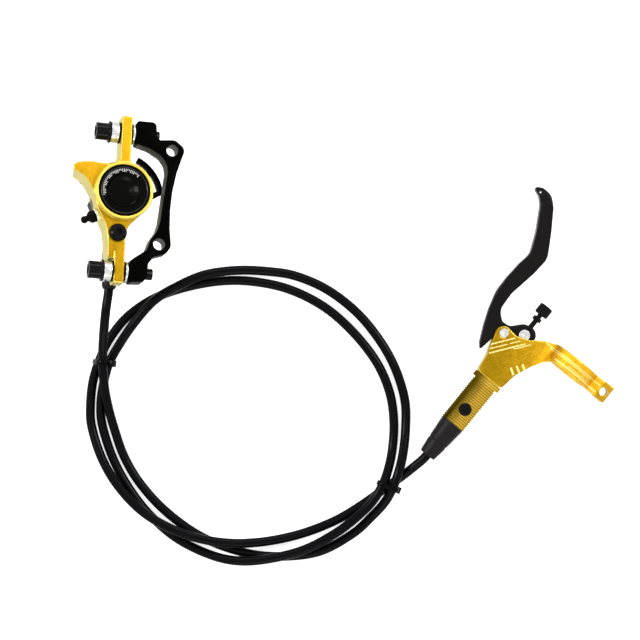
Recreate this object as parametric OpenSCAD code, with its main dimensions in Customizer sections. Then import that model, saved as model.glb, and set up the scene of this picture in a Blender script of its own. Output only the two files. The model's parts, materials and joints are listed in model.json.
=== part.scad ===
/* [Hose] */
// Outer diameter of the hose
hose_d = 5; // [4.6:0.1:5]
// Sides of the hose tube
hose_sides = 10; // [8:1:12]
// Width of the cable tie's band
tie_w = 2.5; // [2:0.1:3]

/* [Caliper body] */
// Distance between the two post bolts
post_spacing = 74; // [73:0.5:75]
// Height of the upper post bolt above the piston axis
upper_post_y = 31.8; // [31.5:0.1:32.5]
// Distance of the post bolts in front of the rotor plane
post_z = 12; // [11.5:0.1:12.5]
// Thickness of the mounting tabs
tab_t = 5.4; // [5:0.1:6]
// Half the depth of a mounting tab
tab_half = 7; // [6.5:0.1:7.2]
// Radius of the front ring around the cap
ring_r = 15.4; // [15:0.1:16]
// Front of the ring, measured from the rotor plane
front_z = 19; // [18.5:0.1:20]
// Front of the finger and of the lower arm
shoulder_z = 16; // [15:0.1:17]
// Back of the inner half, behind the rotor plane
back_z = 13; // [12.8:0.1:14]
// Radius of the inner half's drum
inner_drum_r = 13.7; // [13.5:0.1:14.2]
// Width of the slot that the rotor runs in
slot_w = 3.2; // [3:0.1:3.6]
// Radius of the brake rotor that fits
rotor_r = 80; // [80:1:81]

/* [Pistons and pads] */
// Diameter of the pistons
piston_d = 22; // [20:0.1:22]
// Radial clearance of a piston in its bore
piston_gap = 0.06; // [0.03:0.01:0.1]
// Thickness of a pad's steel backing plate
backing_t = 1.8; // [1.6:0.1:2]
// Thickness of a pad's friction lining
lining_t = 2; // [1.5:0.1:2]
// Length of a pad towards the rotor's centre
pad_len = 20; // [18:0.5:20]
// Width of a pad along the rotor
pad_w = 23; // [20:0.5:23]
// Diameter of the pad pin
pin_d = 3; // [2.5:0.1:3.2]
// Thickness of the transport spacer
spacer_t = 1.8; // [1.6:0.1:1.9]
// Free space between the spacer and each lining
pad_gap = 0.35; // [0.3:0.01:0.4]

/* [Caliper hardware] */
// Diameter of the post bolts
post_bolt_d = 6; // [5.8:0.1:6]
// Diameter of the spherical washers
washer_d = 11.2; // [10.6:0.1:11.6]
// Radius of the spherical faces
dome_r = 9; // [8.5:0.1:10]
// Diameter of the bolts that hold the halves together
body_bolt_d = 5; // [4.5:0.1:5]
// Diameter of the cap that closes the bore
cap_d = 27.2; // [26.8:0.1:27.4]
// Across flats of the hose nut
nut_flats = 8; // [7.5:0.1:8.2]

/* [Adapter bracket] */
// Thickness of the adapter bracket
bracket_t = 10; // [9.6:0.1:10.4]
// Distance between the two frame holes
frame_hole_spacing = 51; // [50.5:0.1:51.5]
// Diameter of the frame holes
frame_hole_d = 6.2; // [6:0.1:6.4]

/* [Lever perch] */
// Diameter of the handlebar that the clamp fits
bar_d = 22.2; // [22:0.1:22.4]
// Width of the clamp along the handlebar
clamp_w = 9.2; // [8.8:0.1:9.8]
// Outer radius of the clamp ring
clamp_r = 14; // [13.8:0.1:14.4]
// Distance between the handlebar and the master cylinder
bar_offset = 30; // [29.5:0.1:31]
// Diameter of the clamp bolt hole
clamp_hole_d = 4.5; // [4.3:0.1:5]
// Width of the clamp's slit
clamp_slit = 1.6; // [1.2:0.1:2.4]
// Thickness of the perch's housing
perch_t = 14.8; // [14.4:0.1:15]

/* [Master cylinder] */
// Diameter of the master piston
master_d = 8; // [7.6:0.1:8]
// Radial clearance of the master piston
master_gap = 0.05; // [0.03:0.01:0.1]
// Outer diameter of the reservoir sleeve
sleeve_d = 14; // [13.8:0.1:14.2]
// Number of ribs on the reservoir sleeve
rib_count = 20; // [14:1:22]
// Diameter of the sleeve's collar
collar_d = 16.6; // [16.2:0.1:16.6]
// Length of the rubber hose boot
boot_len = 21.7; // [20:0.1:22]

/* [Lever blade] */
// Thickness of the blade where it turns on the pivot
hub_t = 8.2; // [7.8:0.1:8.4]
// Thickness of the blade under the fingers
blade_t = 11; // [10:0.1:12]
// Outer diameter of the pivot pin
pivot_d = 4.8; // [4.4:0.1:4.8]
// Diameter of the barrel nut
barrel_d = 6; // [5.6:0.1:6.4]
// Diameter of the push rod
rod_d = 2.8; // [2.4:0.1:3]
// Diameter of the reach knob
knob_d = 7.6; // [7:0.1:8]

/* [Hidden] */
$fn = 48;
eps = 0.01;
fit = 0.05;

// Where the caliper lies: turned, and tipped because its hose holds it off the floor
caliper_pos = [-120.2, 48.9, 16.2];
caliper_turn = -4.9;
tip_right = 15.7;
tip_up = -10;
lower_post_y = upper_post_y - post_spacing;
post_y = [upper_post_y, lower_post_y];
tab_x = -0.3;
tab_left = tab_x - tab_t / 2;
tab_right = tab_x + tab_t / 2;

// The rotor's centre lies up and to the right of the piston axis
pad_turn = 26;
pad_radius = 72;
rotor_clear = 1.5;
rotor_x = pad_radius * cos(pad_turn);
rotor_y = pad_radius * sin(pad_turn);

// Stack of pieces outwards from the rotor plane
lining_z = spacer_t / 2 + pad_gap;
backing_z = lining_z + lining_t;
piston_z = backing_z + backing_t;
pocket_z = piston_z + 0.3;
drum_r = ring_r - 0.5;
ring_t = 2;
cap_seat_z = front_z - 4.6;
cap_front_z = front_z - 0.6;
bore_r = piston_d / 2 + piston_gap;
outer_piston_end = cap_seat_z - 0.6;
inner_bore_end = back_z - 2;
inner_piston_end = inner_bore_end - 0.4;
seal_z = 8.2;
seal_w = 2.2;
seal_depth = 1.5;
piston_wall = 1.6;

pad_corner = 4;
pad_ear_w = 7;
pad_ear_u = -16;
pin_u = -12.8;
pocket_gap = 0.3;

body_bolt_xy = [-1.9, -22.3];
finger_bolt_xy = [-16.3, 10.3];
inner_back_z = 4 - back_z;
button_d = 9.4;
finger_button_d = 7.4;
button_h = 2.6;
screw_gap = 0.15;
bolt_depth = 3.5;
transfer_xy = [-4.4, -16.2];
transfer_d = 2.4;

// Along the post bolts, from the head to the tip
thin_t = 1;
dome_flat = tab_left - thin_t;
dome_tip = dome_flat - 2.8;
flange_x = dome_flat - 4;
flange_t = 1.2;
head_len = 6.6;
head_d = 9.2;
bolt_flange_d = 11.6;
bolt_tip_x = 18;
seat_flat = tab_right + thin_t;
seat_tip = seat_flat + 3;
boss_x = seat_flat + 1.8;
boss_gap = 0.02;

// The hose leaves the inner half downwards
port_x = -1;
port_z = -6;
port_end_y = -29;
port_depth = 3.6;
nut_tail_y = -45;
grommet_end_y = -48.4;
nut_hex_len = 7;
nut_thread_r = 3.7;
port_wall_r = nut_thread_r + 0.9;
nut_bore_r = hose_d / 2 + fit;
olive_t = 2.4;

// The bleed nipple points left and down from the outer half
nipple_angle = 206.6;
nipple_z = pocket_z + 2.8;
nipple_side = 5.6;
nipple_seat = 16.2;
nipple_hex_t = 1.2;

// Adapter bracket, in the caliper's frame
bracket_z = post_z - bracket_t / 2;
frame_hole_lean = 5.1;
frame_hole_mid = [22.4, -1.1];
frame_hole_step = frame_hole_spacing / 2 * [sin(frame_hole_lean), cos(frame_hole_lean)];

// Where the lever lies: flat, its cylinder along its own y
pivot_xy = [84.3, -22.9];
lever_turn = -39;
cyl_x = 9.4;
cyl_z = collar_d / 2;
bar_x = cyl_x + bar_offset;
bar_z = clamp_r;
clamp_y = 8.7;
ear_start_x = 57.2;
ear_end_x = 63.4;
ear_h = 12;
ear_w = 10;
clamp_hole_x = 60;
perch_z = cyl_z - perch_t / 2;
hub_gap = 0.2;
slot_h = hub_t + 2 * hub_gap;
slot_floor_y = -6;

sleeve_top_y = -27;
collar_t = 2.8;
sleeve_len = 27.3;
sleeve_end_y = sleeve_top_y - sleeve_len;
sleeve_wall_r = sleeve_d / 2 - 0.9;
rib_depth = 0.45;
tube_r = 5;
tube_end_y = sleeve_end_y - 4;
bladder_t = 0.6;
bore_end_y = -50;
screw_y = -44.5;
boot_end_y = sleeve_end_y - boot_len;
lever_nut_y = tube_end_y - 6;

// The push rod runs from its seat in the master piston, through the barrel nut, to the knob
barrel_y = 5.9;
rod_seat_y = -27;
knob_y = 19.8;
knob_len = 5.8;
lock_nut_y = 15.9;
lock_nut_t = 2.2;
fork_slot = 3.8;
piston_head_y = rod_seat_y - 2;
cup_y = piston_head_y - 7;

function pt(p) = [p[0], p[1]];
function radius(p) = len(p) > 2 ? p[2] : 0;
function unit(v) = v / norm(v);

// One rounded corner of an outline: an arc of radius r that touches both edges
function corner(a, b, c, r) =
    let (u = unit(a - b), v = unit(c - b), half = acos(u * v) / 2)
    let (room = 0.48 * min(norm(a - b), norm(c - b)), reach = min(r / tan(half), room))
    let (rr = reach * tan(half), centre = b + unit(u + v) * rr / sin(half), first = b + u * reach)
    let (start = atan2(first.y - centre.y, first.x - centre.x))
    let (sweep = (180 - 2 * half) * (u.x * v.y - u.y * v.x > 0 ? -1 : 1))
    let (steps = max(2, ceil(abs(sweep) / 15)))
    [for (i = [0 : steps]) centre + rr * [cos(start + sweep * i / steps), sin(start + sweep * i / steps)]];

// An outline from points [x, y] or [x, y, corner radius]
function rounded(path) = [
    for (i = [0 : len(path) - 1])
        let (n = len(path), a = path[(i + n - 1) % n], b = path[i], c = path[(i + 1) % n])
        for (p = radius(b) > 0 ? corner(pt(a), pt(b), pt(c), radius(b)) : [pt(b)]) p
];

module plate(path, low, high) {
    translate([0, 0, low])
        linear_extrude(high - low)
            polygon(rounded(path));
}

// A profile in the y-z plane, extruded from x = low to x = high
module side_plate(path, low, high) {
    translate([low, 0, 0])
        rotate([90, 0, 90])
            linear_extrude(high - low)
                polygon(rounded(path));
}

module ring(outer_r, inner_r, low, high) {
    translate([0, 0, low])
        difference() {
            cylinder(r = outer_r, h = high - low);
            translate([0, 0, -1])
                cylinder(r = inner_r, h = high - low + 2);
        }
}

module in_caliper() {
    translate(caliper_pos)
        rotate([tip_up, tip_right, caliper_turn])
            children();
}

module in_lever() {
    translate([pivot_xy.x, pivot_xy.y, 0])
        rotate([0, 0, lever_turn])
            children();
}

// Children's z axis lies along a post bolt, from the head to the tip
module on_posts() {
    for (y = post_y)
        translate([0, y, post_z])
            rotate([0, 90, 0])
                children();
}

// Children's z axis runs down the hose port, out of the inner half
module in_port() {
    translate([port_x, 0, port_z])
        rotate([90, 0, 0])
            children();
}

module in_nipple() {
    translate([0, 0, nipple_z])
        rotate([0, 0, nipple_angle])
            translate([0, nipple_side, 0])
                rotate([0, 90, 0])
                    children();
}

// Children's z axis is the master cylinder's, towards the knob
module in_cylinder() {
    translate([cyl_x, 0, cyl_z])
        rotate([-90, 0, 0])
            children();
}

// Caliper body

finger_path = [[-3, 15.8, 3], [-10.7, 14, 4], [-17.5, 14.6, 6], [-24.6, 13.6, 1.5], [-27.1, 11.6, 1],
    [-26.9, 9.2, 1.5], [-20.5, 6, 6], [-15.8, -1, 8], [-13.2, -10.3, 6], [-8.2, -19, 6], [-6.8, -27, 3],
    [-6.4, -35.9, 1], [tab_right - 0.3, -35.9], [2.2, -26, 4], [3.3, -18.5, 5], [9.8, -11.8], [13.5, -5], [6, 8]];

inner_path = [[-9, 10, 4], [-15.5, 14.4, 3], [-20.6, 13.4, 2.5], [-21.6, 10.2, 2], [-18.9, 7.6, 4], [-15.2, 3.8, 5],
    [-13, -1, 6], [-11.5, -6, 4], [-8.2, -12, 4], [-7.2, -17, 4], [port_x - port_wall_r, -22, 3],
    [port_x - port_wall_r, port_end_y, 1], [port_x + port_wall_r, port_end_y, 1], [4.6, -20, 4], [9, -11], [6, 0]];

upper_root = [[tab_left, 26], [tab_left, 16.2, 4], [-9, 13.8], [0, 8], [7, 12.8], [tab_right, 16.2, 3.4], [tab_right, 26]];

upper_tab = [[10, post_z - tab_half], [upper_post_y + 8.2, post_z - tab_half, 3],
    [upper_post_y + 8.2, post_z + tab_half, 1.5], [10, post_z + tab_half]];

lower_tab = [[-27, post_z - tab_half], [lower_post_y - 6.8, post_z - tab_half, 3],
    [lower_post_y - 6.8, shoulder_z + 1, 1.5], [lower_post_y + 3, shoulder_z + 1, 10], [-27, shoulder_z]];

module rotor_space() {
    translate([rotor_x, rotor_y, -slot_w / 2])
        cylinder(r = rotor_r + rotor_clear, h = slot_w, $fn = 96);
}

module pad_pocket(low, high) {
    rotate([0, 0, pad_turn]) {
        half_w = pad_w / 2 + pocket_gap;
        back_u = -pad_len / 2 - pocket_gap;
        plate([[back_u, -half_w, pad_corner], [40, -half_w], [40, half_w], [back_u, half_w, pad_corner]], low, high);
        ear_half = pad_ear_w / 2 + pocket_gap;
        plate([[pad_ear_u - 0.4, -ear_half, 1], [0, -ear_half], [0, ear_half], [pad_ear_u - 0.4, ear_half, 1]],
            low, high);
    }
}

module pin_hole(low, high) {
    rotate([0, 0, pad_turn])
        translate([pin_u, 0, low])
            cylinder(d = pin_d + 2 * fit, h = high - low);
}

module caliper_outer_half() {
    color("goldenrod")
        difference() {
            union() {
                cylinder(r = drum_r, h = front_z - ring_t + eps);
                translate([0, 0, front_z - ring_t])
                    cylinder(r = ring_r, h = ring_t);
                plate(finger_path, 0, shoulder_z);
                plate(upper_root, post_z - tab_half, front_z - ring_t);
                side_plate(upper_tab, tab_left, tab_right);
                side_plate(lower_tab, tab_left, tab_right);
                in_nipple()
                    cylinder(r = 3.8, h = nipple_seat);
            }
            in_nipple() {
                translate([0, 0, 6])
                    cylinder(r = 2.5 + fit, h = 20);
                translate([0, 0, nipple_seat])
                    cylinder(r = 4.2, h = 20);
            }
            // the finger's tip leans in towards the rotor plane
            translate([-26.9, 5, shoulder_z])
                rotate([0, -8, 0])
                    translate([-10, 0, -30])
                        cube([10, 14, 32]);
            rotor_space();
            pad_pocket(-1, pocket_z);
            translate([0, 0, -1])
                cylinder(r = bore_r, h = front_z);
            translate([0, 0, cap_seat_z])
                cylinder(d = cap_d + 2 * fit, h = front_z);
            ring(bore_r + seal_depth, bore_r - 1, seal_z - seal_w / 2, seal_z + seal_w / 2);
            on_posts()
                translate([0, 0, -20])
                    cylinder(d = post_bolt_d + 1.2, h = 40);
            translate([body_bolt_xy.x, body_bolt_xy.y, -1])
                cylinder(d = body_bolt_d + 2 * screw_gap, h = 30);
            translate([finger_bolt_xy.x, finger_bolt_xy.y, -1])
                cylinder(d = body_bolt_d + 2 * fit, h = shoulder_z - 2);
            translate([transfer_xy.x, transfer_xy.y, -1])
                cylinder(d = transfer_d, h = 9);
            pin_hole(-1, 7);
        }
}

module caliper_inner_half() {
    color("goldenrod")
        difference() {
            union() {
                translate([0, 0, -back_z])
                    cylinder(r1 = inner_drum_r - 2, r2 = inner_drum_r, h = 3);
                translate([0, 0, 3 - back_z])
                    cylinder(r = inner_drum_r, h = back_z - 3);
                plate(inner_path, port_z, 0);
                plate([for (p = inner_path) if (p.y > -13) p], inner_back_z, 0);
                in_port()
                    cylinder(r = port_wall_r, h = -port_end_y);
            }
            rotor_space();
            pad_pocket(-pocket_z, 1);
            translate([0, 0, -inner_bore_end])
                cylinder(r = bore_r, h = 30);
            translate([0, 0, -seal_z])
                ring(bore_r + seal_depth, bore_r - 1, -seal_w / 2, seal_w / 2);
            in_port() {
                translate([0, 0, -port_end_y - port_depth])
                    cylinder(r = nut_thread_r + fit, h = 20);
                translate([0, 0, 10])
                    cylinder(r = 1.5, h = 20);
            }
            translate([body_bolt_xy.x, body_bolt_xy.y, -bolt_depth - 0.3])
                cylinder(d = body_bolt_d + 2 * fit, h = 30);
            translate([finger_bolt_xy.x, finger_bolt_xy.y, -30])
                cylinder(d = body_bolt_d + 2 * screw_gap, h = 40);
            translate([transfer_xy.x, transfer_xy.y, -6])
                cylinder(d = transfer_d, h = 10);
            translate([transfer_xy.x, transfer_xy.y, -1])
                cylinder(d = transfer_d + 2, h = 2);
        }
}

module bore_cap() {
    cap_profile = [[0, cap_seat_z], [cap_d / 2, cap_seat_z], [cap_d / 2, cap_front_z - 0.5],
        [cap_d / 2 - 0.5, cap_front_z], [9.2, cap_front_z], [8.2, cap_front_z - 1.1], [7.6, cap_front_z - 1.4],
        [5.5, cap_front_z - 0.9], [2.8, cap_front_z - 0.6], [0, cap_front_z - 0.5]];
    color("black")
        difference() {
            rotate_extrude($fn = 64)
                polygon(cap_profile);
            ring(cap_d / 2 + 1, cap_d / 2 - 1.1, cap_seat_z + 1, cap_seat_z + 2.4);
        }
}

module cap_seal() {
    color("dimgray")
        ring(cap_d / 2, cap_d / 2 - 1.1, cap_seat_z + 1, cap_seat_z + 2.4);
}

module piston(low, high) {
    difference() {
        translate([0, 0, low])
            cylinder(d = piston_d, h = high - low);
        translate([0, 0, low + 2])
            cylinder(r = piston_d / 2 - piston_wall, h = high - low);
    }
}

module outer_piston() {
    color("gainsboro")
        piston(piston_z, outer_piston_end);
}

module inner_piston() {
    color("gainsboro")
        mirror([0, 0, 1])
            piston(piston_z, inner_piston_end);
}

module outer_piston_seal() {
    color("dimgray")
        ring(bore_r + seal_depth, piston_d / 2 + 0.02, seal_z - seal_w / 2, seal_z + seal_w / 2);
}

module inner_piston_seal() {
    color("dimgray")
        mirror([0, 0, 1])
            ring(bore_r + seal_depth, piston_d / 2 + 0.02, seal_z - seal_w / 2, seal_z + seal_w / 2);
}

module pad_backing(low, high) {
    half_l = pad_len / 2;
    half_w = pad_w / 2;
    ear_half = pad_ear_w / 2;
    rotate([0, 0, pad_turn])
        difference() {
            plate([[-half_l, -half_w, pad_corner], [half_l, -half_w, pad_corner], [half_l, half_w, pad_corner],
                [-half_l, half_w, pad_corner], [-half_l, ear_half], [pad_ear_u, ear_half, 2],
                [pad_ear_u, -ear_half, 2], [-half_l, -ear_half]], low, high);
            translate([pin_u, 0, low - 1])
                cylinder(d = pin_d + 0.4, h = high - low + 2);
        }
}

module pad_lining(low, high) {
    half_l = pad_len / 2 - 1.5;
    half_w = pad_w / 2 - 2.4;
    rotate([0, 0, pad_turn])
        difference() {
            plate([[-half_l, -half_w, 3], [half_l, -half_w, 3], [half_l, half_w, 3], [-half_l, half_w, 3]], low, high);
            translate([-half_l - 1, -0.6, low - 1])
                cube([pad_len, 1.2, high - low + 0.6]);
        }
}

module outer_pad_backing() {
    color("darkgray")
        pad_backing(backing_z, piston_z);
}

module inner_pad_backing() {
    color("darkgray")
        mirror([0, 0, 1])
            pad_backing(backing_z, piston_z);
}

module outer_pad_lining() {
    color("saddlebrown")
        pad_lining(lining_z, backing_z);
}

module inner_pad_lining() {
    color("saddlebrown")
        mirror([0, 0, 1])
            pad_lining(lining_z, backing_z);
}

module pad_pin() {
    color("silver")
        rotate([0, 0, pad_turn])
            translate([pin_u, 0, -piston_z])
                cylinder(d = pin_d, h = piston_z + 6.8);
}

// A leaf that bridges the pads outside the rotor's rim and presses them apart
module pad_spring() {
    leaf = 0.4;
    arm_half = 2.4;
    spring_u = -pad_len / 2 + 0.5;
    color("silver")
        rotate([0, 0, pad_turn])
            for (side = [-1, 1]) {
                v = side * (pad_w / 2 - 1.9) - 0.35;
                translate([spring_u, v, -backing_z + 0.02])
                    cube([leaf, 0.7, 2 * backing_z - 0.04]);
                for (z = [-backing_z + 0.02, backing_z - 0.02 - leaf])
                    translate([spring_u, v, z])
                        cube([2 * arm_half + 3, 0.7, leaf]);
            }
}

// A blade between the pads, with a curved grip that stands out of the mouth
module pad_spacer() {
    grip_out = 24.5;
    grip_in = 21.4;
    half_t = spacer_t / 2;
    color("black") {
        rotate([0, 0, pad_turn])
            plate([[-9.08, -9.9], [-6.5, -9.9, 1], [-5, -7.5, 1], [19, -7.5], [19, -4.5, 1], [12, -4.5, 1],
                [12, 4.5, 1], [19, 4.5, 1], [19, 7.5], [-5, 7.5, 1], [-6.5, 9.9, 1], [-9.08, 9.9]], -half_t, half_t);
        intersection() {
            ring(grip_out, grip_in, -1.5, 1.5);
            rotate([0, 0, pad_turn])
                plate([[0, 0], [40, -13], [40, 34]], -3, 3);
        }
        rotate([0, 0, pad_turn])
            for (side = [-1, 1])
                plate([[17.5, side * 7.4], [grip_out - 2.2, side * 7.2], [grip_out - 2.2, side * 4.5], [17.5, side * 4.5]],
                    -half_t, half_t);
    }
}

module button_screw(head_z, length, head_d) {
    translate([0, 0, head_z]) {
        difference() {
            rotate_extrude()
                polygon([[0, 0], [head_d / 2, 0], [head_d / 2, 0.9], [head_d / 2 - 0.7, 2],
                    [head_d / 2 - 1.7, button_h], [0, button_h]]);
            translate([0, 0, 0.9])
                cylinder(d = 3.4, h = 4, $fn = 6);
        }
        translate([0, 0, -length])
            cylinder(d = body_bolt_d, h = length + eps);
    }
}

module body_bolt() {
    color("black")
        translate([body_bolt_xy.x, body_bolt_xy.y, 0])
            button_screw(shoulder_z, shoulder_z + bolt_depth, button_d);
}

module finger_bolt() {
    color("black")
        translate([finger_bolt_xy.x, finger_bolt_xy.y, 0])
            mirror([0, 0, 1])
                button_screw(-inner_back_z, -inner_back_z + shoulder_z - 4, finger_button_d);
}

module transfer_seal() {
    color("dimgray")
        translate([transfer_xy.x, transfer_xy.y, -1])
            rotate_extrude()
                translate([transfer_d / 2 + 0.5, 0.5])
                    circle(d = 0.98, $fn = 24);
}

// Post bolts and their washers

module post_bolts() {
    color("black")
        on_posts() {
            translate([0, 0, flange_x - flange_t - head_len])
                difference() {
                    cylinder(d = head_d, h = head_len + eps);
                    translate([0, 0, -1])
                        cylinder(d = 5.8, h = 4.5, $fn = 6);
                }
            translate([0, 0, flange_x - flange_t])
                cylinder(d = bolt_flange_d, h = flange_t);
            translate([0, 0, flange_x - eps])
                cylinder(d = post_bolt_d, h = bolt_tip_x - flange_x);
        }
}

module washer(low, high) {
    ring(washer_d / 2, post_bolt_d / 2 + 0.3, low, high);
}

module concave_washers() {
    color("silver")
        on_posts()
            difference() {
                washer(flange_x, dome_flat - 0.8);
                translate([0, 0, dome_tip + dome_r])
                    sphere(r = dome_r + boss_gap);
            }
}

module convex_washers() {
    color("silver")
        on_posts()
            intersection() {
                washer(dome_tip, dome_flat);
                translate([0, 0, dome_tip + dome_r])
                    sphere(r = dome_r);
            }
}

module seat_washers() {
    color("silver")
        on_posts()
            intersection() {
                washer(seat_flat, seat_tip);
                translate([0, 0, seat_tip - dome_r])
                    sphere(r = dome_r);
            }
}

module thin_washers() {
    color("black")
        on_posts() {
            washer(dome_flat, tab_left);
            washer(tab_right, seat_flat);
        }
}

// Adapter bracket

bracket_path = [[boss_x, 38.4, 1.5], [15.6, 38.5, 2.5], [16.2, 30.2, 2], [18, 29.2, 1], [26, 30.1, 4],
    [31.8, 25.7, 4.5], [30.1, 20.5, 3], [27.6, 12], [25.9, 2.5], [25.2, -7.4], [25.4, -17.6], [26.6, -27.3, 4],
    [24.1, -31.2, 3], [17.7, -33.3, 3], [14.8, -37.5, 3], [14.8, -44.3, 1.5], [12.5, -47.4, 2],
    [boss_x, -48, 1], [boss_x, -36.6, 1], [9.1, -33.5, 3], [13.7, -30.1, 3], [15.5, -24.5, 4],
    [18.7, -19.5, 3], [20, -14.5, 3], [21.2, -2.9], [22.7, 12.3, 4], [22, 16.5, 5], [19, 20.6, 5],
    [12.4, 24.1, 6], [boss_x, 25.8, 1]];

module adapter_bracket() {
    color("black")
        difference() {
            plate(bracket_path, bracket_z, bracket_z + bracket_t);
            on_posts() {
                cylinder(d = post_bolt_d + 2 * fit, h = 40);
                translate([0, 0, seat_tip - dome_r])
                    sphere(r = dome_r + boss_gap);
            }
            for (side = [-1, 1])
                translate([frame_hole_mid.x + side * frame_hole_step.x, frame_hole_mid.y + side * frame_hole_step.y, 0])
                    cylinder(d = frame_hole_d, h = 40);
        }
}

// Hose fittings

module caliper_hose_nut() {
    color("dimgray")
        in_port()
            difference() {
                union() {
                    translate([0, 0, -port_end_y - port_depth + olive_t])
                        cylinder(r = nut_thread_r, h = port_depth - olive_t + 1);
                    translate([0, 0, -port_end_y])
                        cylinder(d = nut_flats / cos(30), h = nut_hex_len, $fn = 6);
                    translate([0, 0, -port_end_y + nut_hex_len - eps])
                        cylinder(r = 3.5, h = -nut_tail_y + port_end_y - nut_hex_len + eps);
                }
                cylinder(r = nut_bore_r, h = 80);
            }
}

module hose_grommet() {
    color("black")
        in_port()
            rotate_extrude()
                polygon([[nut_bore_r, -nut_tail_y], [3.9, -nut_tail_y], [3.9, 1.9 - nut_tail_y],
                    [3.2, -grommet_end_y], [nut_bore_r, -grommet_end_y]]);
}

module olive() {
    rotate_extrude()
        polygon([[nut_bore_r, 0], [hose_d / 2 + 0.4, 0], [hose_d / 2 + 1, olive_t / 2],
            [hose_d / 2 + 0.4, olive_t], [nut_bore_r, olive_t]]);
}

module hose_olives() {
    color("goldenrod") {
        in_caliper()
            in_port()
                translate([0, 0, -port_end_y - port_depth])
                    olive();
        in_lever()
            in_cylinder()
                translate([0, 0, tube_end_y - olive_t])
                    olive();
    }
}

module bleed_nipple() {
    cone_base = nipple_seat + nipple_hex_t;
    color("silver")
        in_nipple()
            difference() {
                union() {
                    translate([0, 0, nipple_seat])
                        cylinder(d = 7 / cos(30), h = nipple_hex_t, $fn = 6);
                    rotate_extrude()
                        polygon([[0, nipple_seat - 0.3], [2.5, nipple_seat - 0.3], [2.5, nipple_seat + 0.5],
                            [2.2, cone_base], [1.8, cone_base + 2.2], [0, cone_base + 2.2]]);
                }
                translate([0, 0, nipple_seat - 3])
                    cylinder(r = 0.8, h = 20);
            }
}

module bleed_cap() {
    cap_base = nipple_seat + nipple_hex_t + 0.05;
    color("black")
        in_nipple()
            difference() {
                union() {
                    rotate_extrude()
                        polygon([[0, cap_base], [3.3, cap_base], [3.3, cap_base + 2.6], [1.7, cap_base + 4.2],
                            [1.5, cap_base + 5.6], [0, cap_base + 5.6]]);
                    translate([0, 0, cap_base + 6])
                        sphere(r = 2);
                }
                translate([0, 0, cap_base - 1])
                    cylinder(r = 2.25, h = 3.3);
            }
}

// Lever perch, with its clamp for the handlebar

perch_path = [[-4.7, 0.4, 3.6], [-1.4, 3.9, 3.4], [6, 2.8, 2], [12.7, 5.4, 4], [19.5, 10.4, 5],
    [27, clamp_y + clamp_w / 2, 6], [33, clamp_y + clamp_w / 2], [33, clamp_y - clamp_w / 2],
    [29, clamp_y - clamp_w / 2, 3], [25.8, 1, 4], [22.4, -4.8, 8], [18.6, -14, 8], [17.2, -24.2, 2],
    [1.4, -24.2, 2], [0.2, -15.5, 8]];

// Children are a profile seen along the handlebar
module along_bar(width) {
    translate([0, clamp_y + width / 2, 0])
        rotate([90, 0, 0])
            linear_extrude(width)
                children();
}

// A round ring, and the two ears that the clamp bolt pulls together
module clamp_ring() {
    along_bar(clamp_w) {
        translate([bar_x, bar_z])
            circle(r = clamp_r);
        translate([bar_x, bar_z - ear_h / 2])
            square([ear_start_x - bar_x + 0.5, ear_h]);
    }
    along_bar(ear_w)
        translate([ear_start_x, bar_z - ear_h / 2])
            square([ear_end_x - ear_start_x, ear_h]);
}

// The housing's top rises in a ramp to the ring
module clamp_root() {
    perch_top = perch_z + perch_t;
    intersection() {
        plate(perch_path, perch_z, bar_z + clamp_r);
        along_bar(60)
            polygon([[bar_x - 20, perch_top - 1], [bar_x - 18, perch_top], [bar_x - 15, perch_top + 0.9],
                [bar_x - 12, bar_z + 5.6], [bar_x - 9.9, bar_z + 9.9], [bar_x, bar_z], [bar_x - 12, bar_z - 8]]);
    }
}

module lever_perch() {
    color("goldenrod")
        in_lever()
            difference() {
                union() {
                    plate(perch_path, perch_z, perch_z + perch_t);
                    clamp_ring();
                    clamp_root();
                    in_cylinder()
                        translate([0, 0, tube_end_y])
                            cylinder(r = tube_r, h = -tube_end_y - 20);
                    in_cylinder()
                        translate([0, 0, tube_end_y])
                            cylinder(r = tube_r + 0.8, h = sleeve_end_y - tube_end_y + 1);
                }
                translate([bar_x, 30, bar_z])
                    rotate([90, 0, 0])
                        cylinder(d = bar_d, h = 60, $fn = 72);
                translate([bar_x + bar_d / 2 - 1, clamp_y - 20, bar_z - clamp_slit / 2])
                    cube([40, 40, clamp_slit]);
                translate([clamp_hole_x, clamp_y, -1])
                    cylinder(d = clamp_hole_d, h = 40);
                translate([0, 0, -1])
                    cylinder(d = pivot_d + 2 * fit, h = 40);
                plate([[-20, slot_floor_y, 0], [18.6, slot_floor_y, 2], [18.6, 30, 0], [-20, 30, 0]],
                    cyl_z - slot_h / 2, cyl_z + slot_h / 2);
                in_cylinder() {
                    translate([0, 0, bore_end_y])
                        cylinder(r = master_d / 2 + master_gap, h = 60);
                    translate([0, 0, rod_seat_y + 3.5])
                        cylinder(r = master_d / 2 + 0.8, h = 1.2);
                    translate([0, 0, tube_end_y - 1])
                        cylinder(r = 1.2, h = 20);
                }
            }
}

// Ribs and grooves of the sleeve, as radii and heights along its axis
function rib_points() = let (pitch = (sleeve_len - 1) / rib_count) [
    for (i = [0 : rib_count - 1], k = [0 : 3])
        let (low = -sleeve_len + i * pitch)
        [sleeve_d / 2 - (k == 1 || k == 2 ? 0 : rib_depth), low + pitch * [0.1, 0.25, 0.75, 0.9][k]]
];

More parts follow.
